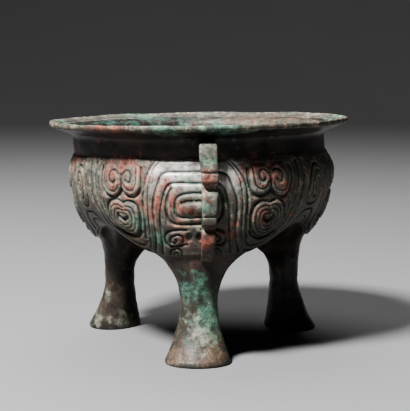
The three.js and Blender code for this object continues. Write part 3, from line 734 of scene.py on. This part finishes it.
def scroll_wall(s):
    """The decorated belly as a fine grid pushed out along its normals by the ornament, with its wear and
    painted highlight and the distance to its nearest line at each point."""
    azimuth = FRONT + TAU * np.arange(FINE_COLUMNS) / FINE_COLUMNS
    drop = np.linspace(0, 1, SCROLL_ROWS)[:, None]
    radius, height = outer_wall(s, turn_from_leg(azimuth)[None, :], drop)
    plain = around(azimuth, radius, height)
    across = np.abs(turn_from_leg(azimuth - SCROLL_TURN)) * s.belly_radius + uneven(plain, SCROLL_SWAY)
    down = drop * BAND_HEIGHT + uneven(plain, SCROLL_LIFT)
    rise, rubbed, line = ornament(s, across, down)
    return plain + outward(plain) * rise[..., None], rubbed, line


def chipped(azimuth, radius, nearness):
    """Radius with a bell-shaped bite out of the rim's edge at each chip."""
    bitten = radius.copy()
    for middle, half_width, depth in RIM_CHIPS:
        off = (np.degrees(azimuth) - middle + 180) % 360 - 180
        bitten -= nearness * depth * np.exp(-((off / half_width) ** 2))
    return bitten


def rim_and_bowl(s):
    """The neck, rim and inside as a coarse grid, from the first ring round the floor's middle out to the
    neck's foot, with its wear, its crust and its distance to a line. The rim's edge is bitten by chips, its
    top has rings that follow a cosine of the radius, and old crust roughens the upper wall inside."""
    azimuth = FRONT + TAU * np.arange(COARSE_COLUMNS) / COARSE_COLUMNS
    section = mouth_section(s, turn_from_leg(azimuth))
    height = section[..., 1].copy()
    row = np.arange(len(section))[:, None]
    nearness = smoothstep(section[..., 0], s.rim_radius - EDGE_FADE, s.rim_radius)
    radius = chipped(azimuth, section[..., 0], nearness)
    on_top = smoothstep(radius, s.neck_radius, s.neck_radius + TOP_FADE) * (row < TOP_ROW)
    ring = np.cos(TAU * (radius - s.neck_radius) / RING_SPACING)
    height += on_top * RING_HEIGHT * ring * (1 - nearness)
    line = NO_LINE - on_top * (1 - nearness) * grown(RING_LINE, ring)
    grid = around(azimuth, radius, height)

    old = smoothstep(height, *CRUST_HEIGHTS)
    earthy = smoothstep(grid[..., 0] + uneven(grid, EARTH_EDGE), *EARTH_ACROSS)
    inside = old * (1 - smoothstep(radius, *CRUST_RADII)) * (row < CRUST_ROW)
    crust = inside * grown(CRUST_SHARES, earthy)
    stain = old * (row < STAIN_ROW) * (1 - earthy)
    line -= stain * (line - STAIN_LINE)
    lumps = sum(
        rise * np.maximum(waves(grid, size, seed) - level, 0) for size, seed, level, rise in CRUST_LUMPS
    )
    grid = grid + outward(grid) * (uneven(grid, RIM_SKIN) + crust * lumps)[..., None]
    grid[..., 2] += uneven(grid, RIM_RIPPLE) * smoothstep(radius, s.neck_radius, s.rim_radius)
    grid[-1] = around(azimuth, *section[-1].T)

    on_rim = (row >= STAIN_ROW) * (row < EDGE_ROW)
    film = on_rim * np.where(row < RIM_EDGE_ROW, RIM_TOP_CRUST, RIM_EDGE_CRUST)
    dust = grown(DUST_SHARES, smoothstep(height, *DUST_HEIGHTS)) * (row < CRUST_ROW)
    rubbed = RIM_RUBBED * on_top * (row >= STAIN_ROW)
    return grid, rubbed, np.clip(film + INSIDE_CRUST * crust + dust, 0, RIM_EDGE_CRUST), line


def sector_edge(leg, middle, crotches, hem):
    """The closed edge that one leg grows from: out along a crotch line, along the hem, and back along the
    next. It takes points or their numbers alike."""
    columns = np.arange(leg * SECTOR - SECTOR // 2, leg * SECTOR + SECTOR // 2 + 1) % COARSE_COLUMNS
    before, after = crotches[leg - 1], crotches[leg]
    return np.concatenate([middle, before[::-1], hem[columns], after])


def crotch_line(s, leg):
    """The crease under the belly between one leg and the next: a parabola from the hem in to the middle,
    with both ends left out."""
    azimuth = FRONT + LEG_TURN * (leg + 0.5)
    corner = hem_corner(s, np.array(LEG_TURN / 2))
    bend_radius, bend_lift = CROTCH_BEND
    t = np.arange(1, CROTCH_STEPS)[:, None] / CROTCH_STEPS
    controls = (corner, (bend_radius, s.hem_height + bend_lift), (0.0, s.hem_height + CROTCH_MIDDLE))
    radius, height = bezier(controls, t)
    return around(azimuth, radius, height)[:, 0]


def parabola(start, bend, end, t):
    """Points of a parabola at t: its ends times the squares of 1 - t and t, and its bend times twice the
    product of the two."""
    return (1 - t) ** 2 * start + 2 * t * (1 - t) * bend + t * t * end


def leg_rows(s, leg, edge):
    """One leg below its edge as rows of ribs, and the middle of its sole. Each rib is a parabola down to the
    oval waist, upright there, a second parabola out to the oval foot, a rounding and the flat sole; ribs are
    spread partly evenly and partly as the edge is seen from the waist's middle."""
    out, aside = directions(FRONT + LEG_TURN * leg)
    waist_shift = np.array([*WAIST_SHIFTS[leg], 0])
    foot_shift = np.array([*FOOT_SHIFTS[leg], 0])
    count = len(edge)
    even = -math.pi + TAU * np.arange(count) / count
    away = edge - out * WAIST_RING
    seen = np.arctan2(away @ aside, away @ out)
    seen[0] = -math.pi
    angle = RIB_EVENNESS * even + (1 - RIB_EVENNESS) * seen

    def oval(ring, along, across, height, shift):
        ring_point = np.outer(along * np.cos(angle), out) + np.outer(across * np.sin(angle), aside)
        return ring_point + out * ring + np.array([0, 0, height]) + shift

    waist = oval(WAIST_RING, s.waist_across * WAIST_DEPTH, s.waist_across, s.waist_height, waist_shift)
    bend = waist.copy()
    bend[:, 2] = edge[:, 2] - FLARE_PULL * (edge[:, 2] - s.waist_height)
    knee = waist.copy()
    knee[:, 2] = KNEE_HEIGHT
    foot_along = s.foot_across * FOOT_DEPTH
    foot = oval(FOOT_RING, foot_along, s.foot_across, FOOT_CORNER, foot_shift)
    flare = parabola(waist, bend, edge, np.linspace(1, 0, FLARE_ROWS)[1:, None, None])
    shin = parabola(waist, knee, foot, np.linspace(0, 1, SHIN_ROWS)[1:, None, None])
    sole = [
        oval(FOOT_RING, foot_along - inset, s.foot_across - inset, height, foot_shift)
        for inset, height in SOLE_RINGS
    ]
    return np.concatenate([flare, shin, np.stack(sole)]), out * FOOT_RING + foot_shift


def uneven_leg(rows, edge):
    """The ribs of a leg pushed in and out by a slow unevenness that dies away at the hem and the floor."""
    normal = outward(np.concatenate([edge[None], rows]))[1:]
    under_hem = smoothstep(np.arange(1, len(rows) + 1)[:, None], *LEG_SKIN_ROWS)
    fade = under_hem * smoothstep(rows[..., 2], *LEG_SKIN_HEIGHTS)
    return rows + normal * (fade * uneven(rows, LEG_SKIN))[..., None]


def flange_rows(s, leg):
    """One flange as rings from its root under the rim to its end: at each step down the tooth outline, a
    rounded bar that reaches from inside the wall to the outline and narrows downwards."""
    out, aside = directions(FRONT + LEG_TURN * leg + FLANGE_TURN)
    reach, height = rounded(FLANGE_ROUTE).T
    wall_radius, wall_height = outer_wall(s, np.array(FLANGE_TURN), np.linspace(0, 1, WALL_SAMPLES))
    root = np.interp(height, wall_height[::-1], wall_radius[::-1]) - FLANGE_ROOT
    root = np.minimum(root, reach - FLANGE_LEAST)
    half = np.array(FLANGE_HALF)
    side, inset, share = np.concatenate([half, half[-2::-1] * (-1, 1, 1)]).T
    depth = (reach - root)[:, None]
    radius = root[:, None] + depth * share - inset * np.minimum(depth / FLANGE_ROUNDED, 1)
    width, lean = np.interp(height, *FLANGE_WIDTH), np.interp(height, *FLANGE_LEAN)
    across = side * width[:, None] / 2 + lean[:, None]
    rows = radius[..., None] * out + across[..., None] * aside
    rows[..., 2] += height[:, None]
    push = out * FLANGE_PUSH[0] + aside * FLANGE_PUSH[1]
    return rows + push * (uneven(rows, FLANGE_SKIN) * share)[..., None]


def settle(points):
    """Shifts and leans the casting: the body stands off the rim's middle, and everything above the legs
    leans a little to one side."""
    height = points[:, 2]
    settled = points.copy()
    settled[:, 2] += LEAN * points[:, 0] * smoothstep(height, *LEAN_HEIGHTS)
    settled[:, 0] += BODY_SHIFT * (1 - smoothstep(height, *SHIFT_HEIGHTS))
    return settled


def notched(points):
    """Points near the foot's chip moved in towards the leg's middle by a bell of the distance."""
    gap = np.linalg.norm(points - np.array(NOTCH_PLACE), axis=1)
    inward = np.array(NOTCHED_LEG) - points[:, :2]
    inward /= np.linalg.norm(inward, axis=1, keepdims=True) + TINY
    moved = points.copy()
    moved[:, :2] += inward * (NOTCH_DEPTH * np.exp(-((gap / NOTCH_REACH) ** 2)))[:, None]
    return moved


def quads(ids):
    """Four-cornered faces between neighbouring rows of point numbers that close on themselves."""
    ids = np.concatenate([ids, ids[:, :1]], axis=1)
    return np.stack([ids[:-1, :-1], ids[1:, :-1], ids[1:, 1:], ids[:-1, 1:]], axis=-1).reshape(-1, 4)


def fan(ring, middle, outwards):
    """Triangles from a closed ring of point numbers to one middle point."""
    after = np.roll(ring, -1)
    middles = np.full(len(ring), middle)
    order = (middles, ring, after) if outwards else (ring, middles, after)
    return np.stack(order, axis=-1)


def stitch(coarse, fine, fine_below):
    """Triangles that join a coarse ring to a ring with three times its points, four to each coarse step."""
    after = np.roll(coarse, -1)
    first, second, third = fine.reshape(-1, FINE_TO_COARSE).T
    last = np.roll(fine, -1).reshape(-1, FINE_TO_COARSE)[:, -1]
    corners = (
        (coarse, first, second), (coarse, second, after), (after, second, third), (after, third, last),
    )
    faces = np.concatenate([np.stack(corner, axis=-1) for corner in corners])
    return faces if fine_below else faces[:, ::-1]


class CastingMesh:
    """Points, faces and point values of the casting as they are gathered."""

    def __init__(self):
        self.points, self.quads, self.triangles = [], [], []
        self.rubbed, self.crust, self.line = [], [], []
        self.count = 0

    def add(self, points, rubbed=0.0, crust=0.0, line=NO_LINE):
        """Takes an array of points with their wear and painted highlight, crust and distance to the nearest
        incised line, and gives their numbers in the same layout."""
        flat = points.reshape(-1, 3)
        ids = self.count + np.arange(len(flat)).reshape(points.shape[:-1])
        self.points.append(flat)
        for kept, value in ((self.rubbed, rubbed), (self.crust, crust), (self.line, line)):
            kept.append(np.broadcast_to(value, points.shape[:-1]).reshape(-1))
        self.count += len(flat)
        return ids


def add_leg(mesh, s, leg, edge, top):
    """Adds one leg under the edge that it grows from, whose point numbers are its top row."""
    rows, sole = leg_rows(s, leg, edge)
    film = LEG_CRUST[leg] * (1 - smoothstep(rows[..., 2], *LEG_BARE))
    ids = mesh.add(uneven_leg(rows, edge), crust=film)
    mesh.quads.append(quads(np.concatenate([top[None], ids])))
    mesh.triangles.append(fan(ids[-1], mesh.add(sole[None])[0], False))


def add_flange(mesh, s, leg):
    """Adds one flange, closed at both ends by fans."""
    rows = flange_rows(s, leg)
    height = rows[..., 2]
    ids = mesh.add(rows, np.interp(height, *FLANGE_RUBBED), np.interp(height, *FLANGE_CRUST))
    mesh.quads.append(quads(ids))
    for end, outwards in ((0, True), (-1, False)):
        tip = mesh.add(rows[end].mean(axis=0)[None])[0]
        mesh.triangles.append(fan(ids[end], tip, outwards))


def gather_casting(s):
    """The whole casting: bowl, rim and neck, fine scrollwork wall, three legs and three flanges."""
    mesh = CastingMesh()
    bowl_ids = mesh.add(*rim_and_bowl(s))
    middle_id = mesh.add(np.array([[0, 0, s.hem_height + BOWL_MIDDLE]]))[0]
    mesh.triangles.append(fan(bowl_ids[0], middle_id, True))
    mesh.quads.append(quads(bowl_ids))

    wall, rubbed, line = scroll_wall(s)
    # Film on the belly: crust that thins downwards, which also paints shade on the lower belly; worn and
    # highlighted parts lose it.
    cover = np.interp(np.linspace(0, 1, SCROLL_ROWS), *WALL_CRUST_AND_SHADE)[:, None]
    film = cover * (1 - RUBBED_BARE * rubbed)
    wall_ids = mesh.add(wall[1:-1], rubbed[1:-1], film[1:-1], line[1:-1])
    hem = wall[-1, ::FINE_TO_COARSE]
    hem_ids = mesh.add(hem)
    mesh.triangles.append(stitch(bowl_ids[-1], wall_ids[0], True))
    mesh.quads.append(quads(wall_ids))
    mesh.triangles.append(stitch(hem_ids, wall_ids[-1], False))

    crotches = [crotch_line(s, leg) for leg in LEGS]
    crotch_ids = [mesh.add(crease) for crease in crotches]
    under = np.array([[0, 0, s.hem_height + CROTCH_MIDDLE]])
    under_id = mesh.add(under)
    for leg in LEGS:
        edge = sector_edge(leg, under, crotches, hem)
        top = sector_edge(leg, under_id, crotch_ids, hem_ids)
        add_leg(mesh, s, leg, edge, top)
        add_flange(mesh, s, leg)
    return mesh


def patch_field(points, patches, seed):
    """Cover of a kind of corrosion: the largest of soft balls about the patches, their reach made uneven."""
    edge = 1 + uneven(points, [(size, seed + step, height) for size, step, height in PATCH_EDGE])
    cover = np.zeros(len(points))
    for x, y, z, reach in patches:
        gap = np.linalg.norm(points - np.array([x, y, z]), axis=1) * edge
        cover = np.maximum(cover, np.exp(-((gap / (PATCH_SPREAD * reach)) ** 2)))
    return cover


def put_values(mesh, name, values):
    """Stores one number for each point of a mesh under a name that the material reads."""
    layer = mesh.attributes.new(name, "FLOAT", "POINT")
    layer.data.foreach_set("value", values.astype(np.float32))


class Finish:
    """Builds a material's node network step by step."""

    def __init__(self, name):
        self.material = bpy.data.materials.new(name)
        self.material.use_nodes = True
        self.tree = self.material.node_tree
        self.shader = self.tree.nodes["Principled BSDF"]
        self.place = self.tree.nodes.new("ShaderNodeTexCoord").outputs["Object"]

    def link(self, source, socket):
        """Joins an output to a socket, or sets the socket to a plain value."""
        if isinstance(source, bpy.types.NodeSocket):
            self.tree.links.new(source, socket)
        else:
            socket.default_value = source

    def noise(self, size, detail, rough, twist):
        """Clouds about this many metres across, between 0 and 1."""
        node = self.tree.nodes.new("ShaderNodeTexNoise")
        node.inputs["Scale"].default_value = 1 / size
        node.inputs["Detail"].default_value = detail
        node.inputs["Roughness"].default_value = rough
        node.inputs["Distortion"].default_value = twist
        self.tree.links.new(self.place, node.inputs["Vector"])
        return node.outputs["Fac"]

    def value(self, name):
        """A number stored on the points of the piece."""
        node = self.tree.nodes.new("ShaderNodeAttribute")
        node.attribute_name = name
        return node.outputs["Fac"]

    def step(self, source, low, high, to_low=0.0, to_high=1.0):
        """A smooth step of a value from low to high."""
        node = self.tree.nodes.new("ShaderNodeMapRange")
        node.interpolation_type = "SMOOTHSTEP"
        for name, part in zip(("Value", "From Min", "From Max", "To Min", "To Max"),
                              (source, low, high, to_low, to_high)):
            self.link(part, node.inputs[name])
        return node.outputs["Result"]

    def joined(self, kind, a, b):
        """Two values added, multiplied or compared."""
        node = self.tree.nodes.new("ShaderNodeMath")
        node.operation = kind
        self.link(a, node.inputs[0])
        self.link(b, node.inputs[1])
        return node.outputs[0]

    def times(self, a, b):
        """Product of two values."""
        return self.joined("MULTIPLY", a, b)

    def shared(self, a, b, shares):
        """Sum of two values, each times its share."""
        return self.joined("ADD", self.times(a, shares[0]), self.times(b, shares[1]))

    def ramp(self, source, stops):
        """Colour looked up along a row of stops."""
        node = self.tree.nodes.new("ShaderNodeValToRGB")
        for place, _ in stops[2:]:
            node.color_ramp.elements.new(place)
        for element, (place, colour) in zip(node.color_ramp.elements, stops):
            element.position = place
            element.color = (*colour, 1.0)
        self.link(source, node.inputs["Fac"])
        return node.outputs["Color"]

    def blend(self, share, under, over):
        """Colour of one layer seen through another."""
        node = self.tree.nodes.new("ShaderNodeMix")
        node.data_type = "RGBA"
        self.link(share, node.inputs["Factor"])
        for part, socket in ((under, node.inputs[6]), (over, node.inputs[7])):
            self.link(part if isinstance(part, bpy.types.NodeSocket) else (*part, 1.0), socket)
        return node.outputs[2]

    def bump(self, height, strength):
        """A bump of the surface with its height and strength."""
        node = self.tree.nodes.new("ShaderNodeBump")
        node.inputs["Distance"].default_value = BUMP_DISTANCE
        self.link(strength, node.inputs["Strength"])
        self.link(height, node.inputs["Height"])
        return node


def patina_finish(colours):
    """Dark bronze with browner clouds, worn crowns whose pale grey-brown is also a painted highlight on the
    brow and upper belly, blue-green grooves, a mottled film on the rim, flanges and belly, and patches of
    red, green, pale and brown corrosion broken up by specks; corrosion is matt, worn metal has a soft sheen."""
    f = Finish("patinated_bronze")
    line, film = f.value("line"), f.value("crust")
    clouds, grain, specks, fine = (f.noise(*field) for field in (CLOUDS, GRAIN, SPECKS, FINE_GRAIN))

    skin = f.blend(f.step(clouds, *UMBER_CLOUDS), colours.bronze, colours.umber)
    # Worn crowns in pale grey-brown, which also paints the highlight on the brow and the lit upper belly.
    rubbed = f.times(f.value("rubbed"), f.step(grain, *RUBBED_GRAIN))
    skin = f.blend(rubbed, skin, colours.worn_and_highlight)

    stops = [(place, getattr(colours, name)) for place, name in MOTTLE_STOPS]
    mottle = f.ramp(f.shared(grain, specks, MOTTLE_SHARES), stops)
    crusted = f.times(film, f.step(clouds, *CRUST_CLOUDS))
    skin = f.blend(crusted, skin, mottle)
    for name, strength in PATCH_LAYERS:
        cover = f.value(name)
        broken = f.joined("ADD", cover, f.step(specks, *PATCH_SPECKS))
        share = f.times(f.step(broken, *PATCH_BROKEN, 0.0, strength), f.step(cover, *PATCH_COVER))
        tone = f.blend(f.step(grain, *PATCH_GRAIN), getattr(colours, name + "_deep"), getattr(colours, name))
        skin = f.blend(share, skin, tone)
        crusted = f.joined("MAXIMUM", crusted, share)

    lip = f.times(f.step(line, *LIP_INNER), f.step(line, *LIP_OUTER))
    lip = f.times(lip, f.step(film, *LIP_CRUST))
    skin = f.blend(f.times(lip, f.step(specks, *LIP_SPECKS)), skin, colours.cream)
    groove = f.blend(f.step(grain, *GROOVE_GRAIN), colours.bronze, colours.verdigris)
    skin = f.blend(f.times(f.step(line, *GROOVE_FLOOR), f.step(clouds, *GROOVE_CLOUDS)), skin, groove)
    pits = f.times(f.step(specks, *PIT_SPECKS), f.step(rubbed, *PIT_RUBBED))
    skin = f.blend(pits, skin, colours.bronze)
    f.link(skin, f.shader.inputs["Base Color"])
    f.shader.inputs["Specular IOR Level"].default_value = SPECULAR_LEVEL

    rough = f.joined("ADD", f.step(grain, *ROUGH_GRAIN), f.step(crusted, *ROUGH_CRUST))
    f.link(rough, f.shader.inputs["Roughness"])
    metal = f.times(f.step(crusted, *METAL_CRUST), f.step(rubbed, *METAL_RUBBED))
    f.link(metal, f.shader.inputs["Metallic"])

    cuts = f.bump(f.step(line, *CUT_LINES), CUT_STRENGTH)
    lumps = f.bump(f.shared(grain, fine, BUMP_SHARES), f.step(crusted, *CRUST_BUMP))
    f.link(cuts.outputs["Normal"], lumps.inputs["Normal"])
    f.link(lumps.outputs["Normal"], f.shader.inputs["Normal"])
    return f.material


def place_piece(name, points, faces, material):
    """A finished piece at the origin from points in millimetres, smoothly shaded."""
    mesh = bpy.data.meshes.new(name)
    mesh.from_pydata((points * MM).tolist(), [], faces)
    mesh.update()
    mesh.shade_smooth()
    mesh.materials.append(material)
    piece = bpy.data.objects.new(name, mesh)
    bpy.context.scene.collection.objects.link(piece)
    return piece


def sweep_floor():
    """A wide flat disc that turns up through a quarter circle into an upright wall far off, as points and
    faces."""
    angle = np.radians(np.linspace(0, 90, SWEEP_STEPS))
    sweep_out = SWEEP_START + SWEEP_RADIUS * np.sin(angle)
    sweep_up = SWEEP_RADIUS - SWEEP_RADIUS * np.cos(angle)
    radius = np.concatenate([FLOOR_RINGS, sweep_out, [SWEEP_START + SWEEP_RADIUS]])
    height = np.concatenate([np.zeros(len(FLOOR_RINGS)), sweep_up, [SWEEP_TOP]])
    azimuth = TAU * np.arange(FLOOR_COLUMNS) / FLOOR_COLUMNS
    rings = around(azimuth[None, :], radius[:, None], height[:, None])
    ids = np.arange(rings[..., 0].size).reshape(rings.shape[:2])
    points = np.concatenate([rings.reshape(-1, 3), [[0, 0, 0]]])
    return points, quads(ids).tolist() + fan(ids[0], len(points) - 1, True).tolist()


def floor_finish(pale):
    """Matt pale floor with faint clouds of a slightly darker tone."""
    f = Finish("pale_floor")
    tone = f.step(f.noise(*FLOOR_CLOUDS), *FLOOR_TONE)
    shade = tuple(FLOOR_SHADE * part for part in pale)
    f.link(f.blend(tone, pale, shade), f.shader.inputs["Base Color"])
    f.shader.inputs["Roughness"].default_value = FLOOR_ROUGHNESS
    return f.material


def add_light(name, place, target, power, size):
    """A square soft light that faces a point."""
    lamp = bpy.data.lights.new(name, "AREA")
    lamp.energy = power
    lamp.size = size
    holder = bpy.data.objects.new(name, lamp)
    holder.location = place
    holder.rotation_mode = "QUATERNION"
    holder.rotation_quaternion = (Vector(target) - Vector(place)).to_track_quat("-Z", "Y")
    bpy.context.scene.collection.objects.link(holder)


class VESSEL_OT_stage(bpy.types.Operator):
    """Make the pale floor, the soft lights and the camera"""

    bl_idname = "vessel.stage"
    bl_label = "Floor, lights and camera"

    def execute(self, context):
        settings = context.scene.vessel_stage
        camera = bpy.data.objects.new("camera", bpy.data.cameras.new("camera"))
        camera.data.lens = settings.lens
        camera.location = CAMERA_PLACE
        camera.rotation_euler = (math.pi / 2 - settings.pitch, 0, CAMERA_TURN)
        context.scene.collection.objects.link(camera)
        context.scene.camera = camera

        floor = place_piece("floor", *sweep_floor(), floor_finish(tuple(settings.floor_colour)))

        add_light("key", KEY_PLACE, KEY_TARGET, settings.key_power, KEY_SIZE)
        add_light("top", TOP_PLACE, TOP_TARGET, settings.top_power, TOP_SIZE)
        world = bpy.data.worlds.new("surround")
        world.use_nodes = True
        backdrop = world.node_tree.nodes["Background"]
        backdrop.inputs["Color"].default_value = SURROUND_COLOUR
        backdrop.inputs["Strength"].default_value = settings.sky_strength
        context.scene.world = world
        context.scene.view_settings.look = VIEW_LOOK
        return {"FINISHED"}


class VESSEL_OT_casting(bpy.types.Operator):
    """Make the bronze casting with its ornament, chips and patina"""

    bl_idname = "vessel.casting"
    bl_label = "Bronze casting"

    def execute(self, context):
        casting = gather_casting(Measures(context.scene.vessel_sizes))
        points = notched(settle(np.concatenate(casting.points)))
        faces = np.concatenate(casting.quads).tolist() + np.concatenate(casting.triangles).tolist()
        material = patina_finish(context.scene.vessel_colours)
        piece = place_piece("vessel_casting", points, faces, material)
        for name in ("rubbed", "crust", "line"):
            put_values(piece.data, name, np.concatenate(getattr(casting, name)))
        for number, (name, patches) in enumerate(PATCHES.items()):
            put_values(piece.data, name, patch_field(points, patches, PATCH_SEED + PATCH_SEED_STEP * number))
        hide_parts("ding_vessel")
        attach(piece, "root")
        return {"FINISHED"}


class VESSEL_PT_panel(bpy.types.Panel):
    """Sizes, colours and making of the vessel"""

    bl_idname = "VESSEL_PT_panel"
    bl_label = "Bronze vessel"
    bl_space_type = "VIEW_3D"
    bl_region_type = "UI"
    bl_category = "Vessel"

    def draw(self, context):
        for group in (context.scene.vessel_sizes, context.scene.vessel_colours, context.scene.vessel_stage):
            column = self.layout.column(align=True)
            for name in group.__annotations__:
                column.prop(group, name)
        self.layout.operator(VESSEL_OT_stage.bl_idname)
        self.layout.operator(VESSEL_OT_casting.bl_idname)


CLASSES = (VesselSizes, PatinaColours, StageSettings, VESSEL_OT_stage, VESSEL_OT_casting, VESSEL_PT_panel)


def register():
    for cls in CLASSES:
        bpy.utils.register_class(cls)
    bpy.types.Scene.vessel_sizes = PointerProperty(type=VesselSizes)
    bpy.types.Scene.vessel_colours = PointerProperty(type=PatinaColours)
    bpy.types.Scene.vessel_stage = PointerProperty(type=StageSettings)


def unregister():
    del bpy.types.Scene.vessel_stage
    del bpy.types.Scene.vessel_colours
    del bpy.types.Scene.vessel_sizes
    for cls in reversed(CLASSES):
        bpy.utils.unregister_class(cls)


def main():
    """Registers the add-on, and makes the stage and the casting."""
    register()
    bpy.ops.vessel.stage()
    bpy.ops.vessel.casting()


if __name__ == "__main__":
    main()
